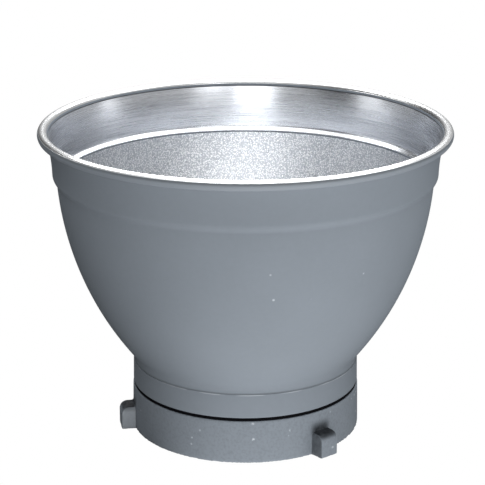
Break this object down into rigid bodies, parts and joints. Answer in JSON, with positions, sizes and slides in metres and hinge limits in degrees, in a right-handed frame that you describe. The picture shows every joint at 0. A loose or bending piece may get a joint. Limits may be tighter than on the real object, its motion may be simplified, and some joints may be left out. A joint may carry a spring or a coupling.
{
  "type": "studio flash reflector",
  "caption": "Round spun bowl with a rolled rim and a stepped grid seat, screwed to a cast bayonet collar that locks it on a studio flash head.",
  "frame": {"origin": "centre of the collar's bottom face, on the optical axis", "axes": "+Z along the optical axis and out of the bowl's mouth, +Y through the first bayonet lug, +X through the first clamp screw"},
  "size_m": [0.1736, 0.1736, 0.132],
  "materials": {
    "bowl_aluminium": "satin blue-grey paint outside; bare metal inside, brushed on the upper band and stippled below the ledge; bright rim",
    "collar_paint": "die cast, satin blue-grey paint with a fine cast grain",
    "gasket_rubber": "matt black",
    "ring_aluminium": "turned, bare",
    "washer_steel": "zinc plated",
    "screw_steel": "zinc plated"
  },
  "bodies": {
    "root": {"mount_collar": "collar_paint", "gasket": "gasket_rubber", "reflector_bowl": "bowl_aluminium", "clamp_ring": "ring_aluminium", "spring_washer_1": "washer_steel", "spring_washer_2": "washer_steel", "spring_washer_3": "washer_steel", "spring_washer_4": "washer_steel", "spring_washer_5": "washer_steel", "spring_washer_6": "washer_steel", "clamp_screw_1": "screw_steel", "clamp_screw_2": "screw_steel", "clamp_screw_3": "screw_steel", "clamp_screw_4": "screw_steel", "clamp_screw_5": "screw_steel", "clamp_screw_6": "screw_steel"}
  },
  "joints": []
}
